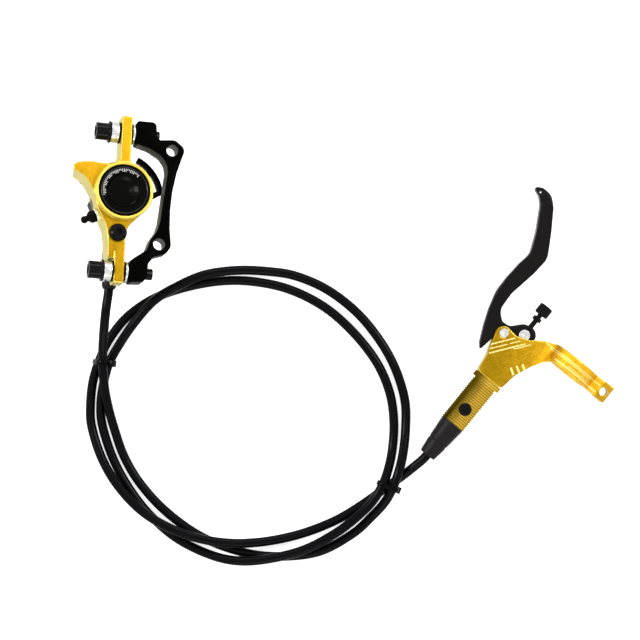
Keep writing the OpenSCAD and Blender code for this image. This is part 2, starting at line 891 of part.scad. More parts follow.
module reservoir_sleeve() {
    color("goldenrod")
        in_lever()
            difference() {
                in_cylinder()
                    translate([0, 0, sleeve_top_y])
                        rotate_extrude()
                            polygon(concat([[tube_r + 0.9, -sleeve_len], [sleeve_d / 2 - rib_depth, -sleeve_len]],
                                rib_points(), [[sleeve_d / 2 - rib_depth, 0], [collar_d / 2, 0],
                                [collar_d / 2, collar_t], [tube_r + fit, collar_t], [tube_r + fit, 0.8],
                                [sleeve_wall_r, 0], [sleeve_wall_r, 1.2 - sleeve_len], [tube_r + 0.9, 1.2 - sleeve_len]]));
                translate([cyl_x, screw_y, cyl_z])
                    cylinder(d = 3 + 2 * fit, h = 20);
                translate([cyl_x, screw_y, cyl_z + sleeve_d / 2 - 0.6])
                    cylinder(d = 7.4, h = 5);
            }
}

module reservoir_bladder() {
    color("dimgray")
        in_lever()
            difference() {
                in_cylinder()
                    ring(sleeve_wall_r, sleeve_wall_r - bladder_t, sleeve_end_y + 2.5, sleeve_top_y - 0.5);
                translate([cyl_x, screw_y, cyl_z])
                    cylinder(d = 3.4, h = 20);
            }
}

module bleed_screw() {
    color("black")
        in_lever()
            translate([cyl_x, screw_y, cyl_z + sleeve_d / 2 - 0.6]) {
                difference() {
                    rotate_extrude()
                        polygon([[0, 0], [3.5, 0], [3.5, 0.7], [2.6, 1.6], [1.6, 1.9], [0, 1.9]]);
                    translate([0, 0, 0.8])
                        cylinder(d = 2.9, h = 3, $fn = 6);
                }
                translate([0, 0, -1.1])
                    cylinder(d = 3, h = 1.2);
            }
}

module lever_hose_nut() {
    color("dimgray")
        in_lever()
            in_cylinder()
                difference() {
                    union() {
                        translate([0, 0, lever_nut_y + 3])
                            cylinder(r = 4.2, h = tube_end_y - lever_nut_y - 3);
                        translate([0, 0, lever_nut_y - 3])
                            cylinder(d = nut_flats / cos(30), h = 6 + eps, $fn = 6);
                    }
                    translate([0, 0, lever_nut_y - 10])
                        cylinder(r = nut_bore_r, h = 40);
                    translate([0, 0, tube_end_y - olive_t])
                        cylinder(r = hose_d / 2 + 1.05, h = 20);
                }
}

module hose_boot() {
    step_y = sleeve_end_y - 0.6 * boot_len;
    profile = [[tube_r + 0.9, sleeve_end_y], [6.75, sleeve_end_y], [6.7, sleeve_end_y - 1], [5.6, step_y + 0.8],
        [5.3, step_y + 0.4], [5.3, step_y], [5.6, step_y - 0.4], [4.5, boot_end_y + 0.4], [4.1, boot_end_y],
        [nut_bore_r, boot_end_y], [nut_bore_r, lever_nut_y - 6], [4.8, lever_nut_y - 4],
        [4.8, tube_end_y - 1.5], [tube_r + 0.9, tube_end_y - 0.1]];
    color("black")
        in_lever()
            in_cylinder()
                rotate_extrude()
                    polygon(profile);
}

// Inside the master cylinder

module master_piston() {
    profile = [[0, piston_head_y - 6.8], [1.5, piston_head_y - 6.8], [1.5, piston_head_y - 6],
        [master_d / 2, piston_head_y - 6], [master_d / 2, piston_head_y - 4.5], [2.2, piston_head_y - 4.5],
        [2.2, piston_head_y - 1.7], [master_d / 2, piston_head_y - 1.7], [master_d / 2, rod_seat_y + 3.3],
        [rod_d / 2 + 0.5, rod_seat_y + 3.3], [rod_d / 2 + 0.3, rod_seat_y + 0.8], [0, rod_seat_y - 1]];
    color("gainsboro")
        in_lever()
            in_cylinder()
                rotate_extrude()
                    polygon(profile);
}

module primary_cup() {
    color("dimgray")
        in_lever()
            in_cylinder()
                rotate_extrude()
                    polygon([[1.52, cup_y + 1], [1.52, cup_y - 0.2], [2.4, cup_y - 0.6], [2.9, cup_y - 1.6],
                        [master_d / 2, cup_y - 1.8], [master_d / 2 - 0.1, cup_y + 1]]);
}

module secondary_seal() {
    color("dimgray")
        in_lever()
            in_cylinder()
                ring(master_d / 2, 2.22, piston_head_y - 4, piston_head_y - 2.2);
}

module return_spring() {
    turns = 5;
    steps = 14;
    wire_r = 0.4;
    coil_r = 2.6;
    low = bore_end_y + wire_r + 0.1;
    high = cup_y - 2.4;
    // each ring of the coil is a triangle-faced tube section along the helix
    function helix(i) = let (a = 360 * i / steps, t = i / (turns * steps))
        [coil_r * cos(a), coil_r * sin(a), low + (high - low) * t];
    count = turns * steps;
    sides = 5;
    points = [
        for (i = [0 : count])
            let (c = helix(i), out = unit([c.x, c.y, 0]))
            for (k = [0 : sides - 1])
                c + wire_r * (cos(360 * k / sides) * out + sin(360 * k / sides) * [0, 0, 1])
    ];
    color("silver")
        in_lever()
            in_cylinder()
                polyhedron(points, tube_faces(count + 1, sides));
}

module retaining_clip() {
    color("silver")
        in_lever()
            in_cylinder()
                difference() {
                    ring(master_d / 2 + 0.75, rod_d / 2 + 0.9, rod_seat_y + 3.55, rod_seat_y + 4.55);
                    translate([0, -0.8, 0])
                        rotate([90, 0, 0])
                            translate([-0.9, rod_seat_y, 0])
                                cube([1.8, 10, 10]);
                }
}

// Lever blade and what turns with it

blade_path = [[-4.2, -14.9, 0.4], [-7, -11.8, 2], [-11.2, -3, 20], [-14.4, 5.2], [-17.2, 15, 15], [-17.4, 24, 20],
    [-16.8, 34], [-15.6, 41.5, 8], [-20.6, 53, 30], [-27.7, 65.1, 8], [-31, 68.3, 3], [-35.5, 70, 0.6],
    [-35.2, 71.6, 0.8], [-32, 73.4, 4], [-26.2, 73, 6], [-21.3, 68.6, 8], [-13.8, 57.3, 30], [-6.6, 45, 8],
    [-7.4, 34, 12], [-9.9, 19, 12], [-9.2, 8.4, 6], [-4.4, 4.3, 3], [0.4, 4.9, 3], [5.6, 10.8, 4], [11.5, 12.2, 4],
    [15.2, 9, 3.4], [14.8, 2, 4], [8.5, 0.2, 4], [4.6, -2.6, 4], [1, -5.2, 3], [-2.6, -4, 3]];

blade_side = [[-16, cyl_z - hub_t / 2], [12.8, cyl_z - hub_t / 2], [22, cyl_z - blade_t / 2, 8],
    [50, cyl_z - blade_t / 2, 10], [74, cyl_z - 4.2, 3], [74, cyl_z + 4.2, 3], [50, cyl_z + blade_t / 2, 10],
    [22, cyl_z + blade_t / 2, 8], [12.8, cyl_z + hub_t / 2], [-16, cyl_z + hub_t / 2]];

module lever_blade() {
    color("dimgray")
        in_lever()
            difference() {
                intersection() {
                    plate(blade_path, 0, 20);
                    side_plate(blade_side, -40, 20);
                }
                translate([0, 0, -1])
                    cylinder(d = pivot_d + 1.6, h = 30);
                translate([cyl_x, barrel_y, -1])
                    cylinder(d = barrel_d + 2 * fit, h = 30);
                plate([[4.6, -12], [30, -12], [30, 30], [4.6, 30]], cyl_z - fork_slot / 2, cyl_z + fork_slot / 2);
                translate([-31.8, 70.6, -1])
                    cylinder(d = 1.6, h = 30);
            }
}

module pivot_bush() {
    color("goldenrod")
        in_lever()
            ring(pivot_d / 2 + 0.75, pivot_d / 2 + fit, cyl_z - hub_t / 2, cyl_z + hub_t / 2);
}

module pivot_pin() {
    color("silver")
        in_lever()
            difference() {
                translate([0, 0, perch_z + 0.2])
                    cylinder(d = pivot_d, h = perch_t);
                translate([0, 0, -1])
                    cylinder(d = 2.5, h = 30);
            }
}

module barrel_nut() {
    color("silver")
        in_lever()
            difference() {
                translate([cyl_x, barrel_y, cyl_z - hub_t / 2])
                    cylinder(d = barrel_d, h = hub_t);
                in_cylinder()
                    cylinder(d = rod_d + 2 * fit, h = 20);
                translate([cyl_x - 1.8, barrel_y - 0.3, cyl_z + hub_t / 2 - 0.5])
                    cube([3.6, 0.6, 1]);
            }
}

module push_rod() {
    color("dimgray")
        in_lever()
            in_cylinder() {
                translate([0, 0, rod_seat_y + rod_d / 2 + 0.2])
                    sphere(d = rod_d);
                translate([0, 0, rod_seat_y + rod_d / 2 + 0.2])
                    cylinder(d = rod_d, h = knob_y - rod_seat_y - 1);
            }
}

module lock_nut() {
    color("dimgray")
        in_lever()
            in_cylinder()
                difference() {
                    translate([0, 0, lock_nut_y])
                        cylinder(d = 5.2, h = lock_nut_t, $fn = 6);
                    cylinder(d = rod_d + 2 * fit, h = 40);
                }
}

module reach_knob() {
    grips = 18;
    color("black")
        in_lever()
            in_cylinder()
                difference() {
                    translate([0, 0, knob_y])
                        rotate_extrude()
                            polygon([[0, 0], [knob_d / 2 - 0.5, 0], [knob_d / 2, 0.5], [knob_d / 2, knob_len - 0.5],
                                [knob_d / 2 - 0.5, knob_len], [0, knob_len]]);
                    cylinder(d = rod_d + 2 * fit, h = knob_y + 2);
                    for (i = [0 : grips - 1])
                        rotate([0, 0, 360 * i / grips])
                            translate([knob_d / 2 + 0.15, 0, knob_y + 0.6])
                                cylinder(r = 0.35, h = knob_len - 1.2, $fn = 16);
                }
}

// Hose: points along its centre line, from the caliper to the lever

function caliper_point(x, y, z) =
    let (a = tip_up, b = tip_right, c = caliper_turn)
    let (y1 = y * cos(a) - z * sin(a), z1 = y * sin(a) + z * cos(a))
    let (x2 = x * cos(b) + z1 * sin(b), z2 = z1 * cos(b) - x * sin(b))
    caliper_pos + [x2 * cos(c) - y1 * sin(c), x2 * sin(c) + y1 * cos(c), z2];

function lever_point(y) = let (c = lever_turn)
    [pivot_xy.x + cyl_x * cos(c) - y * sin(c), pivot_xy.y + cyl_x * sin(c) + y * cos(c), cyl_z];

hose_route = [
    [-126, -10, 20], [-127.3, -20, 17.1], [-128.3, -29.5, 12.9], [-128.8, -38.5, 9.7],
    [-128.5, -46, 8.4], [-127.7, -54, 7.7], [-126, -63, 6], [-123.2, -74, 3.2], [-118, -89, 2.5],
    [-109, -104, 2.5], [-95, -119, 2.5], [-76.5, -132, 2.5], [-55.5, -140, 2.5],
    [-36, -142.5, 2.5], [-14, -140, 2.5], [4, -130.5, 2.5], [14.5, -121, 3.6],
    [21.5, -113, 6.2], [25.6, -105.2, 8.9], [28.6, -97, 9.4], [31, -87.5, 7.2],
    [32.5, -75, 4], [32.3, -59.5, 2.5], [27.5, -43, 2.5], [19.5, -28, 2.5],
    [7, -12.5, 2.5], [-9, 0, 2.5], [-26, 7.5, 2.5], [-41, 10, 3],
    [-58, 10.5, 5], [-75, 8, 7], [-90, 1.5, 8], [-102, -6, 8],
    [-113, -18.5, 6.8], [-121, -30, 4.2], [-126.1, -39.5, 3.6], [-129, -50, 2.7],
    [-130.5, -61.5, 2.5], [-129.5, -73, 2.5], [-124, -90, 2.5], [-116, -105, 2.5],
    [-105, -119.5, 2.5], [-91, -132, 2.5], [-74.5, -140.5, 3.5], [-59, -144.2, 7],
    [-42.5, -143.5, 8], [-22, -138.5, 8], [-4, -129, 8], [8.5, -119, 8],
    [15.5, -111.5, 8.3], [20.5, -103, 8.3], [23.5, -94.5, 6.2], [25.6, -84, 3.4],
    [26.3, -70, 2.5], [24, -54.5, 2.5], [17, -38.5, 2.5], [4.5, -22.5, 2.5],
    [-11, -9, 2.5], [-30, 0.5, 2.5], [-50, 4.7, 2.5], [-68, 4.7, 2.5],
    [-87, 1, 2.5], [-103, -5, 2.5], [-116.5, -14.5, 2.5], [-126, -26.5, 3],
    [-131.3, -38, 3.6], [-134.7, -49, 2.7], [-136, -61.5, 2.5], [-135.3, -73, 3],
    [-130, -89, 5.5], [-121.5, -103.5, 7.5], [-109, -117, 8], [-94, -126.5, 8],
    [-77, -132.5, 8], [-60, -135, 7], [-42, -134.3, 4], [-23, -130.3, 2.5],
    [-5, -123.3, 2.5], [9, -115, 2.8], [21.5, -106, 3.7], [30.5, -99.5, 4.2], [37.5, -93.8, 6.4]
];

hose_line = concat([caliper_point(port_x, port_end_y + port_depth, port_z),
    caliper_point(port_x, port_end_y - nut_hex_len, port_z), caliper_point(port_x, grommet_end_y, port_z)],
    hose_route, [lever_point(boot_end_y), lever_point(tube_end_y)]);

function tube_faces(rings, sides) = concat(
    [[for (k = [0 : sides - 1]) k]],
    [for (i = [0 : rings - 2], k = [0 : sides - 1])
        let (a = i * sides + k, b = i * sides + (k + 1) % sides)
        each [[a, a + sides, b], [b, a + sides, b + sides]]],
    [[for (k = [sides - 1 : -1 : 0]) (rings - 1) * sides + k]]
);

module tube(path, radius, sides) {
    last = len(path) - 1;
    points = [
        for (i = [0 : last])
            let (along = unit(path[min(i + 1, last)] - path[max(i - 1, 0)]))
            let (side = unit(cross(along, [0, 0, 1])), up = cross(side, along))
            for (k = [0 : sides - 1])
                path[i] + radius * (cos(360 * (k + 0.5) / sides) * side + sin(360 * (k + 0.5) / sides) * up)
    ];
    polyhedron(points, tube_faces(last + 1, sides));
}

module hose() {
    color("black")
        tube(hose_line, hose_d / 2, hose_sides);
}

// Cable ties: where each one lies, how it is turned, and its three strands seen along them
tie_t = 0.8;
tie_inside = hose_d / 2 + 0.2;
left_tie = [-128.7, -38.7, 0];
left_tie_turn = -6;
left_strands = [[-2.65, 3.6], [2.75, 3.6], [-0.2, 9.5]];
left_lock = [4.9, 8.5, 28];
right_tie = [22.7, -104.5, 0];
right_tie_turn = -22;
right_strands = [[0.6, 3.7], [3, 8.9], [-2.5, 8.4]];
right_lock = [5.7, 4.6, -24];

// An outline around round strands, at distance r from their centres
function around(centres, r) = [
    for (i = [0 : len(centres) - 1])
        let (n = len(centres), a = centres[(i + n - 1) % n], b = centres[i], c = centres[(i + 1) % n])
        let (u = unit(a - b), v = unit(c - b), half = acos(u * v) / 2, p = b - unit(u + v) * r / sin(half))
        [p.x, p.y, r]
];

module cable_tie(place, turn, strands, lock) {
    color("black")
        translate(place)
            rotate([90, 0, turn])
                difference() {
                    union() {
                        linear_extrude(tie_w, center = true)
                            polygon(rounded(around(strands, tie_inside + tie_t)));
                        translate([lock.x, lock.y, 0])
                            rotate([0, 0, lock.z])
                                cube([2.6, 4.2, tie_w + 1], center = true);
                    }
                    linear_extrude(tie_w + 4, center = true)
                        polygon(rounded(around(strands, tie_inside)));
                }
}

module cable_tie_left() {
    cable_tie(left_tie, left_tie_turn, left_strands, left_lock);
}

module cable_tie_right() {
    cable_tie(right_tie, right_tie_turn, right_strands, right_lock);
}

in_caliper() caliper_outer_half();
in_caliper() caliper_inner_half();
in_caliper() bore_cap();
in_caliper() cap_seal();
in_caliper() outer_piston();
in_caliper() inner_piston();
in_caliper() outer_piston_seal();
in_caliper() inner_piston_seal();
in_caliper() outer_pad_backing();
in_caliper() inner_pad_backing();
in_caliper() outer_pad_lining();
in_caliper() inner_pad_lining();
in_caliper() pad_pin();
in_caliper() pad_spring();
in_caliper() pad_spacer();
in_caliper() body_bolt();
in_caliper() finger_bolt();
in_caliper() transfer_seal();
in_caliper() post_bolts();
in_caliper() concave_washers();
in_caliper() convex_washers();
in_caliper() seat_washers();
in_caliper() thin_washers();
in_caliper() adapter_bracket();
in_caliper() caliper_hose_nut();
in_caliper() hose_grommet();
hose_olives();
in_caliper() bleed_nipple();
in_caliper() bleed_cap();
lever_perch();
reservoir_sleeve();
reservoir_bladder();
bleed_screw();
lever_hose_nut();
hose_boot();
master_piston();
primary_cup();
secondary_seal();
return_spring();
retaining_clip();
lever_blade();
pivot_bush();
pivot_pin();
barrel_nut();
push_rod();
lock_nut();
reach_knob();
hose();
cable_tie_left();
cable_tie_right();
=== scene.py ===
# %% [markdown]
# # A gold and black hydraulic disc brake, seen from above
# The set lies on a white table: a caliper with its adapter bracket, a coiled hose with two cable
# ties, and a lever with a clamp for the handlebar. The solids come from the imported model, in
# metres. This lesson gives them rounded edges, finishes and light.

# %% Load the frame
import json
import math
import bpy
from mathutils import Matrix, Vector


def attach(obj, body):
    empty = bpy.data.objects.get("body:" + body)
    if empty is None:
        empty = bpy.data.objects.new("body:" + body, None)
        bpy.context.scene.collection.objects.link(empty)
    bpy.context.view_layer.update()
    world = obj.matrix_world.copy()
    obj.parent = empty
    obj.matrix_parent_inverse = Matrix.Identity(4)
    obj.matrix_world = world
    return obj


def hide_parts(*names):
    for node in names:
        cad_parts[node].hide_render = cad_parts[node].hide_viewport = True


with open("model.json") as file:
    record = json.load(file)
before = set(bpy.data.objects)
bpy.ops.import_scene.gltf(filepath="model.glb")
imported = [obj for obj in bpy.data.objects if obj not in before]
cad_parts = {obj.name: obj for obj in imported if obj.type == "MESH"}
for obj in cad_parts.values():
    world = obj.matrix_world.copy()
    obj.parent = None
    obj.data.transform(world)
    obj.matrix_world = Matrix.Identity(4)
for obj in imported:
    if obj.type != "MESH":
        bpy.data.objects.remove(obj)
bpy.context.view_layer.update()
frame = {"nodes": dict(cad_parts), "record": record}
nodes = frame["nodes"]
MM = 0.001
print("CAD nodes:", len(nodes))

# %% [markdown]
# ## The camera
# The photograph was taken from straight above, so the camera looks down the Z axis. A long lens
# high above the table gives the weak perspective of a product picture.

# %% Place the camera
FOCAL_LENGTH, SENSOR_WIDTH = 125.9, 36
CAMERA_PLACE = (-0.0132, -0.016, 1.2)
camera_data = bpy.data.cameras.new("camera")
camera_data.lens = FOCAL_LENGTH
camera_data.sensor_width = SENSOR_WIDTH
camera = bpy.data.objects.new("camera", camera_data)
bpy.context.scene.collection.objects.link(camera)
camera.location = CAMERA_PLACE
bpy.context.scene.camera = camera
print("camera height:", camera.location.z)

# %% [markdown]
# ## The hose
# A hydraulic hose is a stiff tube of 5 mm. Coiled for the shop, it lies in about two and a half
# loose turns, and it climbs over itself where two strands cross. The points below are its centre
# line in millimetres, the same ones that the solid follows. A smooth curve through them needs no
# modelling by hand: its bevel is the tube, and each point's radius gives its thickness.

# %% The hose's centre line
HOSE_D = 5
hose_start = [(-123.79, 23.06, 15.03), (-124.18, 12.61, 16.8), (-124.65, 0.4, 18.87)]
hose_route = [
    (-126, -10, 20), (-127.3, -20, 17.1), (-128.3, -29.5, 12.9), (-128.8, -38.5, 9.7),
    (-128.5, -46, 8.4), (-127.7, -54, 7.7), (-126, -63, 6), (-123.2, -74, 3.2), (-118, -89, 2.5),
    (-109, -104, 2.5), (-95, -119, 2.5), (-76.5, -132, 2.5), (-55.5, -140, 2.5),
    (-36, -142.5, 2.5), (-14, -140, 2.5), (4, -130.5, 2.5), (14.5, -121, 3.6),
    (21.5, -113, 6.2), (25.6, -105.2, 8.9), (28.6, -97, 9.4), (31, -87.5, 7.2),
    (32.5, -75, 4), (32.3, -59.5, 2.5), (27.5, -43, 2.5), (19.5, -28, 2.5),
    (7, -12.5, 2.5), (-9, 0, 2.5), (-26, 7.5, 2.5), (-41, 10, 3),
    (-58, 10.5, 5), (-75, 8, 7), (-90, 1.5, 8), (-102, -6, 8),
    (-113, -18.5, 6.8), (-121, -30, 4.2), (-126.1, -39.5, 3.6), (-129, -50, 2.7),
    (-130.5, -61.5, 2.5), (-129.5, -73, 2.5), (-124, -90, 2.5), (-116, -105, 2.5),
    (-105, -119.5, 2.5), (-91, -132, 2.5), (-74.5, -140.5, 3.5), (-59, -144.2, 7),
    (-42.5, -143.5, 8), (-22, -138.5, 8), (-4, -129, 8), (8.5, -119, 8),
    (15.5, -111.5, 8.3), (20.5, -103, 8.3), (23.5, -94.5, 6.2), (25.6, -84, 3.4),
    (26.3, -70, 2.5), (24, -54.5, 2.5), (17, -38.5, 2.5), (4.5, -22.5, 2.5),
    (-11, -9, 2.5), (-30, 0.5, 2.5), (-50, 4.7, 2.5), (-68, 4.7, 2.5),
    (-87, 1, 2.5), (-103, -5, 2.5), (-116.5, -14.5, 2.5), (-126, -26.5, 3),
    (-131.3, -38, 3.6), (-134.7, -49, 2.7), (-136, -61.5, 2.5), (-135.3, -73, 3),
    (-130, -89, 5.5), (-121.5, -103.5, 7.5), (-109, -117, 8), (-94, -126.5, 8),
    (-77, -132.5, 8), (-60, -135, 7), (-42, -134.3, 4), (-23, -130.3, 2.5),
    (-5, -123.3, 2.5), (9, -115, 2.8), (21.5, -106, 3.7), (30.5, -99.5, 4.2), (37.5, -93.8, 6.4),
]
hose_end = [(43.78, -87.88, 8.3), (54.92, -74.12, 8.3)]
hose_points = [Vector(p) for p in hose_start + hose_route + hose_end]
STEPS = 6
print("points of the hose:", len(hose_points))


def on_curve(path, t):
    """A point of the smooth curve through all the points of path."""
    i = min(int(t), len(path) - 2)
    f = t - i
    a, b, c, d = path[max(i - 1, 0)], path[i], path[i + 1], path[min(i + 2, len(path) - 1)]
    slope, curve = c - a, 2 * a - 5 * b + 4 * c - d
    return 0.5 * (2 * b + slope * f + curve * f**2 + (3 * b - a - 3 * c + d) * f**3)


centre_line = [on_curve(hose_points, i / STEPS) for i in range((len(hose_points) - 1) * STEPS + 1)]

# %% The hose itself
hose_data = bpy.data.curves.new("hose_tube", "CURVE")
hose_data.dimensions = "3D"
spline = hose_data.splines.new("POLY")
spline.points.add(len(centre_line) - 1)
for spline_point, place in zip(spline.points, centre_line):
    spline_point.co = (*(place * MM), 1)
    spline_point.radius = HOSE_D / 2 * MM
hose_data.bevel_depth = 1
hose_data.bevel_resolution = 5
hose_data.use_fill_caps = True
hose_tube = bpy.data.objects.new("hose_tube", hose_data)
bpy.context.scene.collection.objects.link(hose_tube)
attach(hose_tube, "fixed_parts")
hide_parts("hose")

# %% [markdown]
# ## Light
# Metal shows what stands around it. A white room and four soft lamps give the black parts their long
# highlights and the gold its bright rims, which painted highlights in the gold's colour make brighter
# still. The white that the camera sees comes from the colour of the room and the floor, not from
# stronger lamps.
#
# A Light Path node tells what kind of ray has hit a surface. With it, the room is plain white to the
# camera and in mirrors, and a weaker light to everything else.

# %% The world
WHITE = (1, 1, 1, 1)
ROOM_LIGHT, ROOM_SEEN = 0.55, 1
scene = bpy.context.scene
scene.view_settings.view_transform = "Standard"
scene.world = bpy.data.worlds.new("white_room")
scene.world.use_nodes = True
room = scene.world.node_tree
room.nodes.clear()


def maths(tree, operation, *values):
    """A Math node on sockets or numbers; returns its output."""
    node = tree.nodes.new("ShaderNodeMath")
    node.operation = operation
    for slot, value in zip(node.inputs, values):
        if isinstance(value, (int, float)):
            slot.default_value = value
        else:
            tree.links.new(value, slot)
    return node.outputs["Value"]


def plain_shader(tree, kind, colour, strength=None):
    """A shader node with a plain colour; returns its output."""
    node = tree.nodes.new(kind)
    node.inputs["Color"].default_value = colour
    if strength is not None:
        node.inputs["Strength"].default_value = strength
    return node.outputs[0]


def choose(tree, factor, if_0, if_1):
    """A Mix Shader between two shaders; returns its output."""
    node = tree.nodes.new("ShaderNodeMixShader")
    for slot, value in zip(node.inputs, (factor, if_0, if_1)):
        tree.links.new(value, slot)
    return node.outputs[0]


rays = room.nodes.new("ShaderNodeLightPath").outputs
direct = maths(room, "MAXIMUM", rays["Is Camera Ray"], rays["Is Transmission Ray"])
seen = maths(room, "MAXIMUM", direct, rays["Is Glossy Ray"])
lighting = plain_shader(room, "ShaderNodeBackground", WHITE, ROOM_LIGHT)
showing = plain_shader(room, "ShaderNodeBackground", WHITE, ROOM_SEEN)
room_out = room.nodes.new("ShaderNodeOutputWorld")
room.links.new(choose(room, seen, lighting, showing), room_out.inputs["Surface"])
print("nodes of the room:", len(room.nodes))

# %% [markdown]
# Each lamp is a rectangle that looks at the middle of the set. Two stand at the sides and two above
# the far and the near edge, and none is strong, so that colours render about as they are written.

# %% The lamps
def soft_lamp(name, place, size, watts):
    """A rectangular lamp that looks at the middle of the set."""
    data = bpy.data.lights.new(name, "AREA")
    data.shape = "RECTANGLE"
    data.size, data.size_y = size
    data.energy = watts
    lamp = bpy.data.objects.new(name, data)
    scene.collection.objects.link(lamp)
    lamp.location = place
    lamp.rotation_euler = Vector(place).to_track_quat("Z", "Y").to_euler()


soft_lamp("lamp_left", (-0.9, 0.25, 0.75), (0.25, 0.6), 7)
soft_lamp("lamp_right", (0.85, 0.5, 0.7), (0.2, 0.5), 5)
soft_lamp("lamp_back", (0.1, 1.0, 0.6), (1.0, 0.25), 4)
soft_lamp("lamp_front", (0.0, -1.0, 0.8), (0.9, 0.3), 3)

# %% [markdown]
# ## The table
# A large plane just under the set. To the camera it is paper with a glow, so it turns plain white
# apart from the soft shadow. Mirrors see it plain white, and everything else sees the paper.

# %% The floor
FLOOR_SIZE, FLOOR_HEIGHT = 6, -0.0002
PAPER, FLOOR_GLOW = (0.86, 0.86, 0.86, 1), 0.75
bpy.ops.object.select_all(action="DESELECT")
bpy.ops.mesh.primitive_plane_add(size=FLOOR_SIZE, location=(0, 0, FLOOR_HEIGHT))
floor = bpy.context.active_object
floor.name = "floor"
white_table = bpy.data.materials.new("white_table")
white_table.use_nodes = True
table = white_table.node_tree
table.nodes.clear()
rays = table.nodes.new("ShaderNodeLightPath").outputs
paper = plain_shader(table, "ShaderNodeBsdfDiffuse", PAPER)
glowing_paper = table.nodes.new("ShaderNodeAddShader")
table.links.new(paper, glowing_paper.inputs[0])
table.links.new(plain_shader(table, "ShaderNodeEmission", WHITE, FLOOR_GLOW), glowing_paper.inputs[1])
to_camera = choose(table, rays["Is Camera Ray"], paper, glowing_paper.outputs[0])
mirrored = maths(table, "MAXIMUM", rays["Is Glossy Ray"], rays["Is Transmission Ray"])
white = plain_shader(table, "ShaderNodeEmission", WHITE, 1)
table_out = table.nodes.new("ShaderNodeOutputMaterial")
table.links.new(choose(table, mirrored, to_camera, white), table_out.inputs["Surface"])
floor.data.materials.append(white_table)
print("floor at height:", FLOOR_HEIGHT)

# %% [markdown]
# ## Finishes
# No real finish is one flat colour. Anodised metal shows the fine grain of the blasting under it,
# paint pools a little, and rubber is cloudy. One node group makes such variation from noise, and
# each material places it with its own colours, scale and depth.

# %% A node group for fine surface variation
GRAIN_SHARE = 0.55
NOISE_RANGE = (0.32, 0.68)
GRAIN_HEIGHT = 0.02 * MM


def grain_group():
    """Noise in two sizes, as a colour, a roughness and a normal."""
    group = bpy.data.node_groups.new("fine_grain", "ShaderNodeTree")
    for name, kind, value in (
        ("Light colour", "NodeSocketColor", (0.8, 0.8, 0.8, 1)),
        ("Dark colour", "NodeSocketColor", (0.5, 0.5, 0.5, 1)),
        ("Cloud scale", "NodeSocketFloat", 60.0),
        ("Grain scale", "NodeSocketFloat", 2500.0),
        ("Smooth", "NodeSocketFloat", 0.3),
        ("Rough", "NodeSocketFloat", 0.4),
        ("Depth", "NodeSocketFloat", 0.1),
    ):
        socket = group.interface.new_socket(name, in_out="INPUT", socket_type=kind)
        socket.default_value = value
    group.interface.new_socket("Color", in_out="OUTPUT", socket_type="NodeSocketColor")
    group.interface.new_socket("Roughness", in_out="OUTPUT", socket_type="NodeSocketFloat")
    group.interface.new_socket("Normal", in_out="OUTPUT", socket_type="NodeSocketVector")
    n, link = group.nodes, group.links.new
    inside, outside = n.new("NodeGroupInput"), n.new("NodeGroupOutput")
    coords = n.new("ShaderNodeTexCoord")
    cloud, grain = n.new("ShaderNodeTexNoise"), n.new("ShaderNodeTexNoise")
    cloud.inputs["Detail"].default_value = 3
    grain.inputs["Detail"].default_value = 1
    for noise, scale in ((cloud, "Cloud scale"), (grain, "Grain scale")):
        link(coords.outputs["Object"], noise.inputs["Vector"])
        link(inside.outputs[scale], noise.inputs["Scale"])
    both = n.new("ShaderNodeMix")
    both.data_type = "FLOAT"
    both.inputs["Factor"].default_value = GRAIN_SHARE
    link(cloud.outputs["Fac"], both.inputs["A"])
    link(grain.outputs["Fac"], both.inputs["B"])
    spread = n.new("ShaderNodeMapRange")
    spread.inputs["From Min"].default_value, spread.inputs["From Max"].default_value = NOISE_RANGE
    link(both.outputs["Result"], spread.inputs["Value"])
    colour = n.new("ShaderNodeMix")
    colour.data_type = "RGBA"
    link(spread.outputs["Result"], colour.inputs["Factor"])
    link(inside.outputs["Dark colour"], colour.inputs["A"])
    link(inside.outputs["Light colour"], colour.inputs["B"])
    rough = n.new("ShaderNodeMapRange")
    link(cloud.outputs["Fac"], rough.inputs["Value"])
    link(inside.outputs["Smooth"], rough.inputs["To Min"])
    link(inside.outputs["Rough"], rough.inputs["To Max"])
    bump = n.new("ShaderNodeBump")
    bump.inputs["Distance"].default_value = GRAIN_HEIGHT
    link(inside.outputs["Depth"], bump.inputs["Strength"])
    link(grain.outputs["Fac"], bump.inputs["Height"])
    link(colour.outputs["Result"], outside.inputs["Color"])
    link(rough.outputs["Result"], outside.inputs["Roughness"])
    link(bump.outputs["Normal"], outside.inputs["Normal"])
    return group


GRAIN = grain_group()
print("sockets of the grain group:", len(GRAIN.interface.items_tree))
